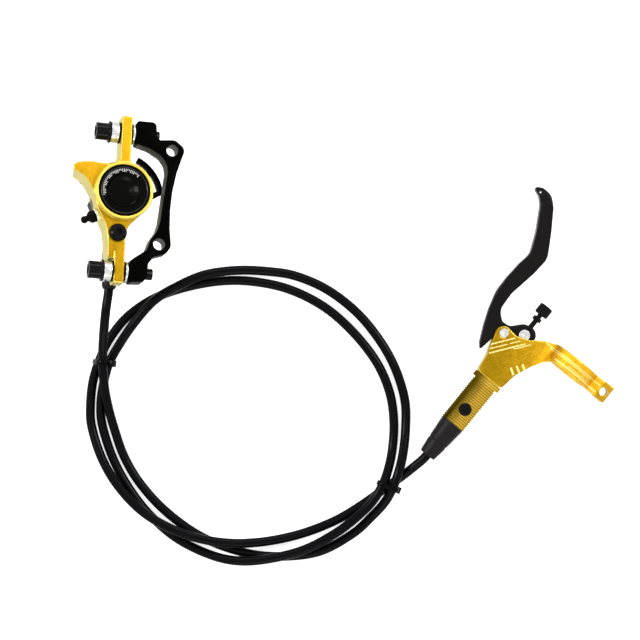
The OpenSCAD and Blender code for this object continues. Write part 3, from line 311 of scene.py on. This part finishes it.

# %% [markdown]
# A long part never looks the same from end to end, because it turns away from the lamps and shows
# another part of the room. A second group paints that shade into the colour: it tints the colour at
# one end of a direction and lets the tint fade out towards the other.

# %% A node group for shade painted across a part
def painted_shade_group():
    """Painted shade: a tint that fades out along a direction, measured on the object's own coordinates."""
    group = bpy.data.node_groups.new("colour_painted_shade", "ShaderNodeTree")
    for name, kind, value in (
        ("Color", "NodeSocketColor", WHITE),
        ("Tint", "NodeSocketColor", WHITE),
        ("Direction", "NodeSocketVector", (1, 0, 0)),
        ("Start", "NodeSocketFloat", 0.0),
        ("End", "NodeSocketFloat", 1.0),
    ):
        socket = group.interface.new_socket(name, in_out="INPUT", socket_type=kind)
        socket.default_value = value
    group.interface.new_socket("Color", in_out="OUTPUT", socket_type="NodeSocketColor")
    n, link = group.nodes, group.links.new
    inside, outside = n.new("NodeGroupInput"), n.new("NodeGroupOutput")
    coords = n.new("ShaderNodeTexCoord")
    along = n.new("ShaderNodeVectorMath")
    along.operation = "DOT_PRODUCT"
    link(coords.outputs["Object"], along.inputs[0])
    link(inside.outputs["Direction"], along.inputs[1])
    fade = n.new("ShaderNodeMapRange")
    fade.interpolation_type = "SMOOTHSTEP"
    link(along.outputs["Value"], fade.inputs["Value"])
    link(inside.outputs["Start"], fade.inputs["From Min"])
    link(inside.outputs["End"], fade.inputs["From Max"])
    tint = n.new("ShaderNodeMix")
    tint.data_type = "RGBA"
    link(fade.outputs["Result"], tint.inputs["Factor"])
    link(inside.outputs["Tint"], tint.inputs["A"])
    tint.inputs["B"].default_value = WHITE
    product = n.new("ShaderNodeMix")
    product.data_type = "RGBA"
    product.blend_type = "MULTIPLY"
    product.inputs["Factor"].default_value = 1
    link(inside.outputs["Color"], product.inputs["A"])
    link(tint.outputs["Result"], product.inputs["B"])
    link(product.outputs["Result"], outside.inputs["Color"])
    return group


PAINTED_SHADE = painted_shade_group()
print("sockets of the drift group:", len(PAINTED_SHADE.interface.items_tree))

# %% [markdown]
# Every finish is the same Principled surface with other numbers, so one function makes them all:
# the groups give its colour, roughness and normal, and the plain values are set on the surface
# itself. Where a finish needs a pattern, a second function paints a colour over it through a mask.

# %% One function for all finishes
def finish_material(name, light, dark, metal=0.0, smooth=0.3, rough=0.4, cloud=60, grain=2500,
                    depth=0.1, shine=0.5, painted_shade=None):
    """A Principled surface whose colour, roughness and normal come from the node groups."""
    mat = bpy.data.materials.new(name)
    mat.use_nodes = True
    tree = mat.node_tree
    shader = tree.nodes["Principled BSDF"]
    group = tree.nodes.new("ShaderNodeGroup")
    group.node_tree = GRAIN
    for socket, value in (
        ("Light colour", (*light, 1)),
        ("Dark colour", (*dark, 1)),
        ("Cloud scale", cloud),
        ("Grain scale", grain),
        ("Smooth", smooth),
        ("Rough", rough),
        ("Depth", depth),
    ):
        group.inputs[socket].default_value = value
    colour = group.outputs["Color"]
    if painted_shade:
        fade = tree.nodes.new("ShaderNodeGroup")
        fade.node_tree = PAINTED_SHADE
        tint, direction, start, end = painted_shade
        fade.inputs["Tint"].default_value = (*tint, 1)
        fade.inputs["Direction"].default_value = direction
        fade.inputs["Start"].default_value = start
        fade.inputs["End"].default_value = end
        tree.links.new(colour, fade.inputs["Color"])
        colour = fade.outputs["Color"]
    tree.links.new(colour, shader.inputs["Base Color"])
    tree.links.new(group.outputs["Roughness"], shader.inputs["Roughness"])
    tree.links.new(group.outputs["Normal"], shader.inputs["Normal"])
    shader.inputs["Metallic"].default_value = metal
    shader.inputs["Specular IOR Level"].default_value = shine
    return mat


def paint_over(material, mask, colour):
    """Puts a colour over the material's own wherever the mask is 1."""
    tree = material.node_tree
    base = tree.nodes["Principled BSDF"].inputs["Base Color"]
    mix = tree.nodes.new("ShaderNodeMix")
    mix.data_type = "RGBA"
    tree.links.new(mask, mix.inputs["Factor"])
    tree.links.new(base.links[0].from_socket, mix.inputs["A"])
    mix.inputs["B"].default_value = (*colour, 1)
    tree.links.new(mix.outputs["Result"], base)


# %% [markdown]
# The caliper and the perch are blasted, then anodised gold. Their flat faces are grainy and deep,
# their walls catch the white of the table and look pale, and their rounded edges are brightest. That
# light is painted into the colour: besides the gold of the faces there is a paler copy with painted
# light for the walls, a brighter copy with painted highlights for the rims, and a darker copy with
# painted shade, and each face gets the one that suits its direction. The sleeve is turned on a
# lathe, so it is smoother, and shade is painted on its side away from the light; the caliper and the
# perch get painted shade towards one end as well. The two matrices below are where the caliper and
# the lever lie in the set: the lever is turned on the table, and the caliper is also tipped.

# %% Gold
LEVER_PLACE, LEVER_TURN = (84.3, -22.9, 0), -39
CALIPER_PLACE, CALIPER_TURNS = (-120.2, 48.9, 16.2), (("Z", -4.9), ("Y", 15.7), ("X", -10))
LEVER = Matrix.Translation(Vector(LEVER_PLACE) * MM) @ Matrix.Rotation(math.radians(LEVER_TURN), 4, "Z")
CALIPER = Matrix.Translation(Vector(CALIPER_PLACE) * MM)
for axis, degrees in CALIPER_TURNS:
    CALIPER = CALIPER @ Matrix.Rotation(math.radians(degrees), 4, axis)
ACROSS_SLEEVE, ALONG_SLEEVE = LEVER.to_3x3().col[0], LEVER.to_3x3().col[1]

# painted shade: the caliper's gold darkens towards its lower arm
gold_face = finish_material("gold_face", (0.78, 0.42, 0.018), (0.56, 0.3, 0.006), metal=1, smooth=0.38,
                            rough=0.5, cloud=260, grain=1300, depth=0.5,
                            painted_shade=((0.6, 0.63, 0.5), (0, 1, 0), 0.03, 0.086))
gold_painted_light_wall = finish_material("gold_painted_light_wall", (0.8, 0.71, 0.24), (0.66, 0.54, 0.12), metal=1, smooth=0.32,
                            rough=0.42, cloud=90, grain=1500, depth=0.2)
gold_painted_highlight_rim = finish_material("gold_painted_highlight_rim", (0.86, 0.66, 0.12), (0.66, 0.48, 0.05), metal=1, smooth=0.34,
                           rough=0.44, cloud=120, grain=1800, depth=0.1)
gold_shade = finish_material("gold_shade", (0.66, 0.37, 0.022), (0.46, 0.25, 0.008), metal=1,
                             smooth=0.34, rough=0.46, cloud=160, grain=1300, depth=0.3)
# painted shade: the sleeve darkens on its side away from the light
gold_turned = finish_material("gold_turned", (0.9, 0.62, 0.09), (0.7, 0.46, 0.04), metal=1, smooth=0.12,
                              rough=0.24, cloud=120, grain=3000, depth=0.05,
                              painted_shade=((0.16, 0.16, 0.04), ACROSS_SLEEVE, 0.083, 0.0915))
turned_surface = gold_turned.node_tree.nodes["Principled BSDF"]
turned_surface.inputs["Specular Tint"].default_value = (0.6, 0.5, 0.2, 1)
print("the sleeve's axis:", [round(v, 3) for v in ALONG_SLEEVE])

# %% [markdown]
# Shade is painted into the grooves between the sleeve's ribs. A wave along the sleeve's axis, with
# the ribs' pitch, darkens them. The wave is cut off below, so that the ribs keep their own colour.

# %% Painted shade in the grooves
RIB_PITCH, FIRST_GROOVE = 1.315, -53.9
GROOVE_SHADE_STRENGTH, GROOVE_SHADE_CUT = 0.9, -0.15
tree = gold_turned.node_tree
coords, along = tree.nodes.new("ShaderNodeTexCoord"), tree.nodes.new("ShaderNodeVectorMath")
along.operation = "DOT_PRODUCT"
along.inputs[1].default_value = ALONG_SLEEVE
tree.links.new(coords.outputs["Object"], along.inputs[0])
per_metre = math.tau / (RIB_PITCH * MM)
first = FIRST_GROOVE * MM + ALONG_SLEEVE.dot(LEVER.translation)
phase = maths(tree, "MULTIPLY_ADD", along.outputs["Value"], per_metre, -per_metre * first)
wave = maths(tree, "COSINE", phase)
groove_shade = maths(tree, "MULTIPLY_ADD", wave, GROOVE_SHADE_STRENGTH, GROOVE_SHADE_CUT)
groove_shade.node.use_clamp = True
# painted shade: dark brown in the grooves
paint_over(gold_turned, groove_shade, (0.12, 0.07, 0.005))
print("first groove, measured from the set's origin in mm:", round(first / MM, 1))

# %% [markdown]
# The perch has a decoration of thin lines in bare metal near the pivot. The four long lines along the
# arm, from the bend to the ear, are painted highlights on its edges, drawn the same way. Each line is
# a box in the lever's own coordinates, given by its two ends and its width: a mapping turns the box
# into a unit square, and the largest of its two distances tells whether a point lies on the line.

# %% The perch's face with its lines
strokes = [(-1.9, -9.2, 6.2, 1.6, 0.6), (-0.7, -11.2, 5.1, -3.5, 0.48), (5.9, -2.4, 9.2, 2, 0.48),
           (0.4, -13.4, 12.4, 2.6, 0.66), (9.6, -3, 14.8, 3.9, 0.48), (8.2, -2.9, 9.7, -2.9, 0.48),
           (14.2, -12.1, 17.8, -14.2, 1.08), (16.1, -9.4, 19.4, -11.4, 1.08),
           (17.9, -6.8, 21, -8.7, 1.08), (20.5, 10, 56.6, 10, 0.48), (24, 9, 50, 9, 0.42),
           (28.6, 5.9, 56.6, 5.9, 0.72), (36, 7, 50, 7, 0.36)]
# painted shade: the perch darkens towards the sleeve
gold_perch = finish_material("gold_perch", (0.98, 0.57, 0.03), (0.64, 0.34, 0.004), metal=1, smooth=0.46,
                             rough=0.6, cloud=420, grain=1300, depth=0.6,
                             painted_shade=((0.42, 0.44, 0.3), (1, 0, 0), 0.074, 0.128))
tree = gold_perch.node_tree
coords = tree.nodes.new("ShaderNodeTexCoord")
lines = None
for x0, y0, x1, y1, wide in strokes:
    unit_box = tree.nodes.new("ShaderNodeMapping")
    unit_box.vector_type = "TEXTURE"
    slope = math.atan2(y1 - y0, x1 - x0) + math.radians(LEVER_TURN)
    unit_box.inputs["Location"].default_value = LEVER @ (Vector((x0 + x1, y0 + y1, 0)) / 2 * MM)
    unit_box.inputs["Rotation"].default_value = (0, 0, slope)
    unit_box.inputs["Scale"].default_value = (math.hypot(x1 - x0, y1 - y0) / 2 * MM, wide / 2 * MM, 1)
    size = tree.nodes.new("ShaderNodeVectorMath")
    size.operation = "ABSOLUTE"
    parts = tree.nodes.new("ShaderNodeSeparateXYZ")
    tree.links.new(coords.outputs["Object"], unit_box.inputs["Vector"])
    tree.links.new(unit_box.outputs["Vector"], size.inputs[0])
    tree.links.new(size.outputs["Vector"], parts.inputs["Vector"])
    largest = maths(tree, "MAXIMUM", parts.outputs["X"], parts.outputs["Y"])
    on_line = maths(tree, "LESS_THAN", largest, 1)
    lines = on_line if lines is None else maths(tree, "MAXIMUM", lines, on_line)
# etched lines near the pivot, and painted highlights along the arm's edges
paint_over(gold_perch, lines, (0.96, 0.8, 0.3))
print("lines on the perch:", len(strokes))

# %% [markdown]
# Black is never quite black. Painted alloy, rubber, moulded plastic and oiled steel differ in how
# broad and how bright their highlights are.

# %% Blacks
black_paint = finish_material("black_painted_alloy", (0.0016, 0.0016, 0.0009), (0.0006, 0.0006, 0.0004),
                              smooth=0.3, rough=0.42, cloud=80, grain=1800, depth=0.15, shine=0.012)
# painted light: a paler black for the bracket's walls that face the caliper
painted_light_bracket_wall = finish_material("black_painted_light_bracket_wall", (0.05, 0.05, 0.036), (0.03, 0.03, 0.022), smooth=0.4,
                             rough=0.5, cloud=80, grain=1800, depth=0.2, shine=0.3)
black_anodised = finish_material("black_anodised", (0.006, 0.0042, 0.0042), (0.0025, 0.0017, 0.0018),
                                 smooth=0.2, rough=0.3, cloud=70, grain=1600, depth=0.2, shine=0.12)
black_plastic = finish_material("black_plastic", (0.002, 0.002, 0.0018), (0.0008, 0.0008, 0.0006),
                                smooth=0.12, rough=0.24, cloud=70, grain=2000, depth=0.05, shine=0.06)
black_rubber = finish_material("black_rubber", (0.011, 0.009, 0.009), (0.006, 0.005, 0.005), smooth=0.38,
                               rough=0.52, cloud=50, grain=1500, depth=0.25, shine=0.14)
black_steel = finish_material("black_steel", (0.003, 0.003, 0.003), (0.001, 0.001, 0.001), smooth=0.1,
                              rough=0.2, cloud=90, grain=2500, depth=0.1, shine=0.12)
black_gloss = finish_material("black_gloss", (0.004, 0.004, 0.004), (0.002, 0.002, 0.002), smooth=0.08,
                              rough=0.14, cloud=90, grain=2500, depth=0.02, shine=0.4)
hose_jacket = finish_material("hose_jacket", (0.0022, 0.0022, 0.003), (0.001, 0.001, 0.0014), smooth=0.18,
                              rough=0.27, cloud=40, grain=1200, depth=0.1, shine=0.07)
print("materials so far:", len(bpy.data.materials))

# %% [markdown]
# The cap over the piston has a ring of white print. Here it is a plain scale of ticks: a mapping
# brings each point into the caliper's own coordinates, and its radius and angle tell whether it
# lies on a tick. The angle is counted from the cap's upper left, and in each group of five ticks
# the first three are longer.

# %% The cap's scale
TICKS, GROUP = 76, 5
TICK_SHARE, LONG_SHARE = 0.42, 0.6
TICK_OUTER, TICK_INNER, LONG_TICK_MORE = 11.5, 10.5, 0.7
ARC_START, ARC_END = -1.5, 1.1
PRINT_HEIGHT = 15
cap_print = finish_material("black_cap_with_scale", (0.002, 0.002, 0.0018), (0.0008, 0.0008, 0.0006),
                            smooth=0.1, rough=0.2, cloud=70, grain=2000, depth=0.04, shine=0.05)
tree = cap_print.node_tree
coords, on_cap = tree.nodes.new("ShaderNodeTexCoord"), tree.nodes.new("ShaderNodeMapping")
on_cap.vector_type = "TEXTURE"
on_cap.inputs["Location"].default_value = CALIPER.translation
on_cap.inputs["Rotation"].default_value = CALIPER.to_euler()
on_cap.inputs["Scale"].default_value = (MM, MM, MM)
axes = tree.nodes.new("ShaderNodeSeparateXYZ")
tree.links.new(coords.outputs["Object"], on_cap.inputs["Vector"])
tree.links.new(on_cap.outputs["Vector"], axes.inputs["Vector"])
x, y, z = axes.outputs
radius = maths(tree, "SQRT", maths(tree, "ADD", maths(tree, "MULTIPLY", x, x), maths(tree, "MULTIPLY", y, y)))
leftwards = maths(tree, "SUBTRACT", maths(tree, "MULTIPLY", x, -1), y)
turn = maths(tree, "ARCTAN2", leftwards, maths(tree, "SUBTRACT", y, x))
step = maths(tree, "FRACT", maths(tree, "MULTIPLY", turn, TICKS / math.tau))
in_group = maths(tree, "FRACT", maths(tree, "MULTIPLY", turn, TICKS / GROUP / math.tau))
more = maths(tree, "MULTIPLY", maths(tree, "LESS_THAN", in_group, LONG_SHARE), LONG_TICK_MORE)
marks = maths(tree, "LESS_THAN", step, TICK_SHARE)
for limit in (
    maths(tree, "GREATER_THAN", radius, maths(tree, "SUBTRACT", TICK_INNER, more)),
    maths(tree, "LESS_THAN", radius, TICK_OUTER),
    maths(tree, "GREATER_THAN", z, PRINT_HEIGHT),
    maths(tree, "GREATER_THAN", turn, ARC_START),
    maths(tree, "LESS_THAN", turn, ARC_END),
):
    marks = maths(tree, "MULTIPLY", marks, limit)
paint_over(cap_print, marks, (0.62, 0.62, 0.6))
print("ticks on the cap:", round((ARC_END - ARC_START) / math.tau * TICKS))

# %% [markdown]
# Bright parts: steel washers and pins, the cast grey of the pads' plates, the speckled friction
# lining, and brass where a soft metal seals or turns.

# %% Bright metals and the lining
bright_steel = finish_material("bright_steel", (0.8, 0.8, 0.79), (0.68, 0.68, 0.68), metal=1, smooth=0.14,
                               rough=0.26, cloud=100, grain=3000, depth=0.04)
pad_steel = finish_material("pad_steel", (0.2, 0.2, 0.21), (0.12, 0.12, 0.125), metal=0.5, smooth=0.4,
                            rough=0.52, cloud=90, grain=1600, depth=0.2)
lining = finish_material("friction_lining", (0.16, 0.11, 0.08), (0.05, 0.035, 0.03), smooth=0.75, rough=0.9,
                         cloud=900, grain=1900, depth=0.6)
light_alloy = finish_material("light_alloy", (0.8, 0.8, 0.81), (0.66, 0.66, 0.67), metal=1, smooth=0.22,
                              rough=0.34, cloud=90, grain=2600, depth=0.1)
brass = finish_material("brass", (0.78, 0.58, 0.28), (0.62, 0.44, 0.18), metal=1, smooth=0.22, rough=0.34,
                        cloud=90, grain=2600, depth=0.1)
print("materials:", len(bpy.data.materials))

# %% [markdown]
# Every piece of the set now gets its finish, also the ones that no view shows, because someone may
# take the brake apart. The hose's tube is a new piece, so it gets its own.

# %% Which finish goes on which node
finish_of = {
    gold_face: ["caliper_outer_half", "caliper_inner_half"],
    gold_perch: ["lever_perch"],
    gold_turned: ["reservoir_sleeve"],
    black_paint: ["adapter_bracket"],
    black_anodised: ["lever_blade", "reach_knob"],
    cap_print: ["bore_cap"],
    black_plastic: ["pad_spacer", "bleed_cap", "cable_tie_left", "cable_tie_right"],
    black_rubber: ["cap_seal", "outer_piston_seal", "inner_piston_seal", "transfer_seal",
                   "hose_grommet", "hose_boot", "reservoir_bladder", "primary_cup", "secondary_seal"],
    black_steel: ["body_bolt", "finger_bolt", "post_bolts", "thin_washers", "caliper_hose_nut",
                  "bleed_screw", "lever_hose_nut", "push_rod", "lock_nut"],
    bright_steel: ["pad_pin", "pad_spring", "concave_washers", "convex_washers", "seat_washers",
                   "bleed_nipple", "return_spring", "retaining_clip", "barrel_nut", "pivot_pin",
                   "outer_piston", "inner_piston"],
    pad_steel: ["outer_pad_backing", "inner_pad_backing"],
    lining: ["outer_pad_lining", "inner_pad_lining"],
    light_alloy: ["master_piston"],
    brass: ["hose_olives", "pivot_bush"],
    hose_jacket: ["hose"],
}
hose_tube.data.materials.append(hose_jacket)
for material, names in finish_of.items():
    for name in names:
        nodes[name].data.materials.clear()
        nodes[name].data.materials.append(material)
print("nodes without a finish:", set(nodes) - {name for names in finish_of.values() for name in names})

# %% [markdown]
# ## Rounded edges
# No machined or cast edge is perfectly sharp, and it is the rounded edge that catches the light. A
# CAD mesh is a heap of loose triangles, so a copy of it is merged into clean faces first. The copy
# then takes the node's place on the same moving body.

# %% Copies of CAD nodes
MERGE_DISTANCE, FLAT_ANGLE = 0.002 * MM, math.radians(0.5)
body_of = {name: body for body, names in frame["record"]["behaviour"]["bodies"].items() for name in names}


def merged_copy(name, ending):
    """Copies a CAD node and merges its loose triangles into clean faces."""
    bpy.ops.object.select_all(action="DESELECT")
    nodes[name].select_set(True)
    bpy.context.view_layer.objects.active = nodes[name]
    bpy.ops.object.duplicate()
    piece = bpy.context.active_object
    piece.name = name + ending
    piece.parent = None
    for key in list(piece.keys()):
        del piece[key]
    bpy.ops.object.mode_set(mode="EDIT")
    bpy.ops.mesh.select_all(action="SELECT")
    bpy.ops.mesh.remove_doubles(threshold=MERGE_DISTANCE)
    bpy.ops.mesh.dissolve_limited(angle_limit=FLAT_ANGLE)
    bpy.ops.object.mode_set(mode="OBJECT")
    return piece


def hand_over(piece, name):
    """The piece takes the node's place on the same body; as a copy it keeps the node's material slot."""
    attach(piece, body_of[name])
    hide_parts(name)
    print(piece.name, len(piece.data.polygons), "faces")

# %% [markdown]
# On the small parts and the bracket, a bevel rounds all edges sharper than 40 degrees. Most widths
# are a quarter of a millimetre or less, as on small turned and stamped parts. The bracket is cast
# and has the widest edges, so its bevel gets one more segment.

# %% Round the edges of the small parts and of the bracket
SHARP_EDGE, SMOOTH_ANGLE = math.radians(40), math.radians(38)
WIDE_EDGE = 0.4
edge_widths = {
    "adapter_bracket": 0.7, "post_bolts": 0.3, "reach_knob": 0.12, "cable_tie_left": 0.25,
    "cable_tie_right": 0.25, "pad_spacer": 0.25, "barrel_nut": 0.2, "pivot_pin": 0.2, "lock_nut": 0.2,
    "bleed_nipple": 0.15, "thin_washers": 0.1, "concave_washers": 0.2, "convex_washers": 0.15,
    "seat_washers": 0.2,
}


def rounded_copy(name, width):
    """A copy whose sharp edges are bevelled; width is in mm."""
    piece = merged_copy(name, "_rounded")
    bevel = piece.modifiers.new("rounded_edges", "BEVEL")
    bevel.width = width * MM
    bevel.segments = 3 if width > WIDE_EDGE else 2
    bevel.limit_method = "ANGLE"
    bevel.angle_limit = SHARP_EDGE
    bevel.use_clamp_overlap = False
    bevel.loop_slide = False
    bpy.ops.object.modifier_apply(modifier=bevel.name)
    bpy.ops.object.shade_smooth_by_angle(angle=SMOOTH_ANGLE)
    hand_over(piece, name)


for name, width in edge_widths.items():
    rounded_copy(name, width)

# %% [markdown]
# The caliper's halves, the perch and the blade are castings. Their walls meet at many slanting
# corners that a bevel can't follow, so they are rebuilt as a fine grid and smoothed, as if they had
# been tumbled.

# %% Soften the castings
def cast_copy(name, grid, passes):
    """A copy rebuilt on a fine grid and smoothed, which softens every edge; grid is in mm."""
    piece = merged_copy(name, "_cast")
    rebuild = piece.modifiers.new("fine_grid", "REMESH")
    rebuild.mode = "VOXEL"
    rebuild.voxel_size = grid * MM
    bpy.ops.object.modifier_apply(modifier=rebuild.name)
    soften = piece.modifiers.new("soft_edges", "SMOOTH")
    soften.factor = 0.5
    soften.iterations = passes
    bpy.ops.object.modifier_apply(modifier=soften.name)
    bpy.ops.object.shade_smooth()
    hand_over(piece, name)


for name, grid, passes in (("caliper_outer_half", 0.35, 12), ("caliper_inner_half", 0.35, 12),
                           ("lever_perch", 0.35, 8), ("lever_blade", 0.4, 20)):
    cast_copy(name, grid, passes)

# %% [markdown]
# Now each face of a gold piece gets its copy of the gold from its direction, measured against the
# axis of the part: the caliper's axis is that of its pistons, the perch's is vertical. Faces that
# look up keep the face gold, walls get the pale copy with painted light, and the faces between get
# the copy with painted highlights. The flange around the cap also gets the painted highlights, and
# the perch's ear gets the copy with painted shade. The bracket's walls that face the caliper lean
# towards the camera, so they get a paler black, the light they catch painted into their colour.

# %% Painted light and shade by direction
FACE, PAINTED_LIGHT_WALL, PAINTED_HIGHLIGHT_RIM, SHADE = range(4)
FLANGE_RADIUS, FLANGE_HEIGHT = 15.6, 18.8
EAR_START = 57.3
CALIPER_SIDE = 8


def caliper_painted_light(normal, spot):
    """Which copy of the gold, with painted light or shade, a face of the caliper gets."""
    if normal.z > 0.9 and spot.xy.length < FLANGE_RADIUS and spot.z > FLANGE_HEIGHT:
        return PAINTED_HIGHLIGHT_RIM
    if normal.z > 0.93:
        return FACE
    return PAINTED_LIGHT_WALL if abs(normal.z) < 0.35 else PAINTED_HIGHLIGHT_RIM


def perch_painted_light(normal, spot):
    """Which copy of the gold, with painted light or shade, a face of the perch gets."""
    if normal.z <= 0.25:
        return PAINTED_LIGHT_WALL
    if spot.x > EAR_START:
        return SHADE
    return FACE if abs(normal.y) < 0.35 else PAINTED_HIGHLIGHT_RIM


def bracket_painted_light(normal, spot):
    """Which black a face of the bracket gets: its own, or the paler one with painted light."""
    towards_caliper = abs(normal.z) < 0.3 and normal.x < 0.2
    return PAINTED_LIGHT_WALL if towards_caliper and spot.x > CALIPER_SIDE else FACE


painted_golds = (gold_painted_light_wall, gold_painted_highlight_rim, gold_shade)
for name, place, painted_light_for, painted_light_copies in (
    ("caliper_outer_half_cast", CALIPER, caliper_painted_light, painted_golds),
    ("caliper_inner_half_cast", CALIPER, caliper_painted_light, painted_golds),
    ("lever_perch_cast", LEVER, perch_painted_light, painted_golds),
    ("adapter_bracket_rounded", CALIPER, bracket_painted_light, (painted_light_bracket_wall,)),
):
    mesh = bpy.data.objects[name].data
    for finish in painted_light_copies:
        mesh.materials.append(finish)
    back = place.inverted()
    count = [0] * len(mesh.materials)
    for face in mesh.polygons:
        face.material_index = painted_light_for(back.to_3x3() @ face.normal, back @ face.center / MM)
        count[face.material_index] += 1
    print(name, "faces per finish:", count)

# %% [markdown]
# A thin moulded bead runs around the cap outside the scale. It is glossy, so it catches the lamps
# as a bright arc. A small circle stands at the bead's radius and is spun around the cap's axis, and
# the finished ring is then laid on the tipped cap.

# %% The bead on the cap
BEAD_RADIUS, BEAD_THICK, BEAD_HEIGHT = 12.2, 0.6, 18.4
bpy.ops.object.select_all(action="DESELECT")
bpy.ops.mesh.primitive_circle_add(vertices=12, radius=BEAD_THICK / 2 * MM, rotation=(math.pi / 2, 0, 0),
                                  location=(BEAD_RADIUS * MM, 0, 0))
bpy.ops.object.transform_apply(location=True, rotation=True, scale=True)
bead = bpy.context.active_object
bead.name = "cap_bead"
bpy.ops.object.mode_set(mode="EDIT")
bpy.ops.mesh.select_all(action="SELECT")
bpy.ops.mesh.spin(steps=96, angle=math.tau, center=(0, 0, 0), axis=(0, 0, 1))
bpy.ops.mesh.select_all(action="SELECT")
bpy.ops.mesh.remove_doubles(threshold=MERGE_DISTANCE)
bpy.ops.mesh.normals_make_consistent(inside=False)
bpy.ops.object.mode_set(mode="OBJECT")
bead.data.transform(CALIPER @ Matrix.Translation((0, 0, BEAD_HEIGHT * MM)))
bpy.ops.object.shade_smooth()
bead.data.materials.append(black_gloss)
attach(bead, body_of["bore_cap"])
print("bead faces:", len(bead.data.polygons))
